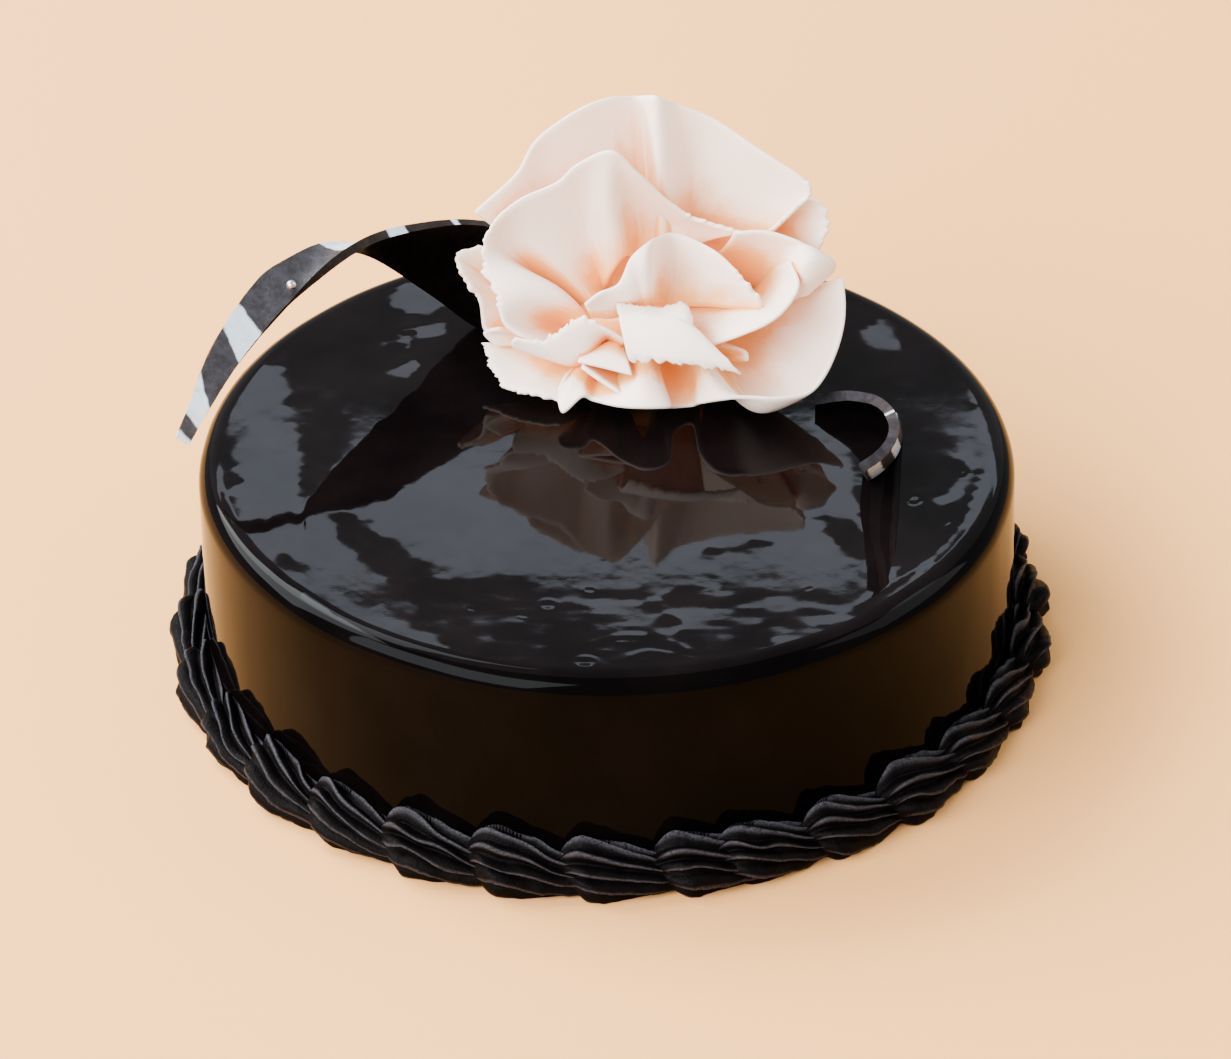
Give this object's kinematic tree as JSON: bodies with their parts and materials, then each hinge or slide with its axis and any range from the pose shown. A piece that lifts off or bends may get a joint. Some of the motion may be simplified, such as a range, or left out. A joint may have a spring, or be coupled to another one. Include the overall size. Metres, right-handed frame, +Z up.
{
  "type": "chocolate truffle cake",
  "caption": "Round mirror-glazed chocolate cake with a piped shell border, a ruffled blush flower, a striped chocolate ribbon and a small chocolate curl.",
  "frame": {"origin": "centre of the cake's flat underside", "axes": "+Z up, -Y towards the viewer of the picture, +X to the viewer's right"},
  "size_m": [0.2125, 0.2137, 0.1231],
  "materials": {
    "dark_glaze": "near-black mirror glaze, wet gloss",
    "piped_chocolate": "near-black piped ganache, soft sheen on the ridges",
    "blush_petal": "pale blush sugar paste, satin, peach in the folds",
    "dark_chocolate": "dark tempered chocolate with broad pale stripes",
    "curl_chocolate": "dark tempered chocolate with pale patches on its edge",
    "silver_sugar": "silver-coated sugar"
  },
  "bodies": {
    "root": {"cake_body": "dark_glaze", "shell_border": "piped_chocolate", "flower": "blush_petal", "chocolate_ribbon": "dark_chocolate", "chocolate_curl": "curl_chocolate", "sugar_pearl": "silver_sugar"}
  },
  "joints": []
}
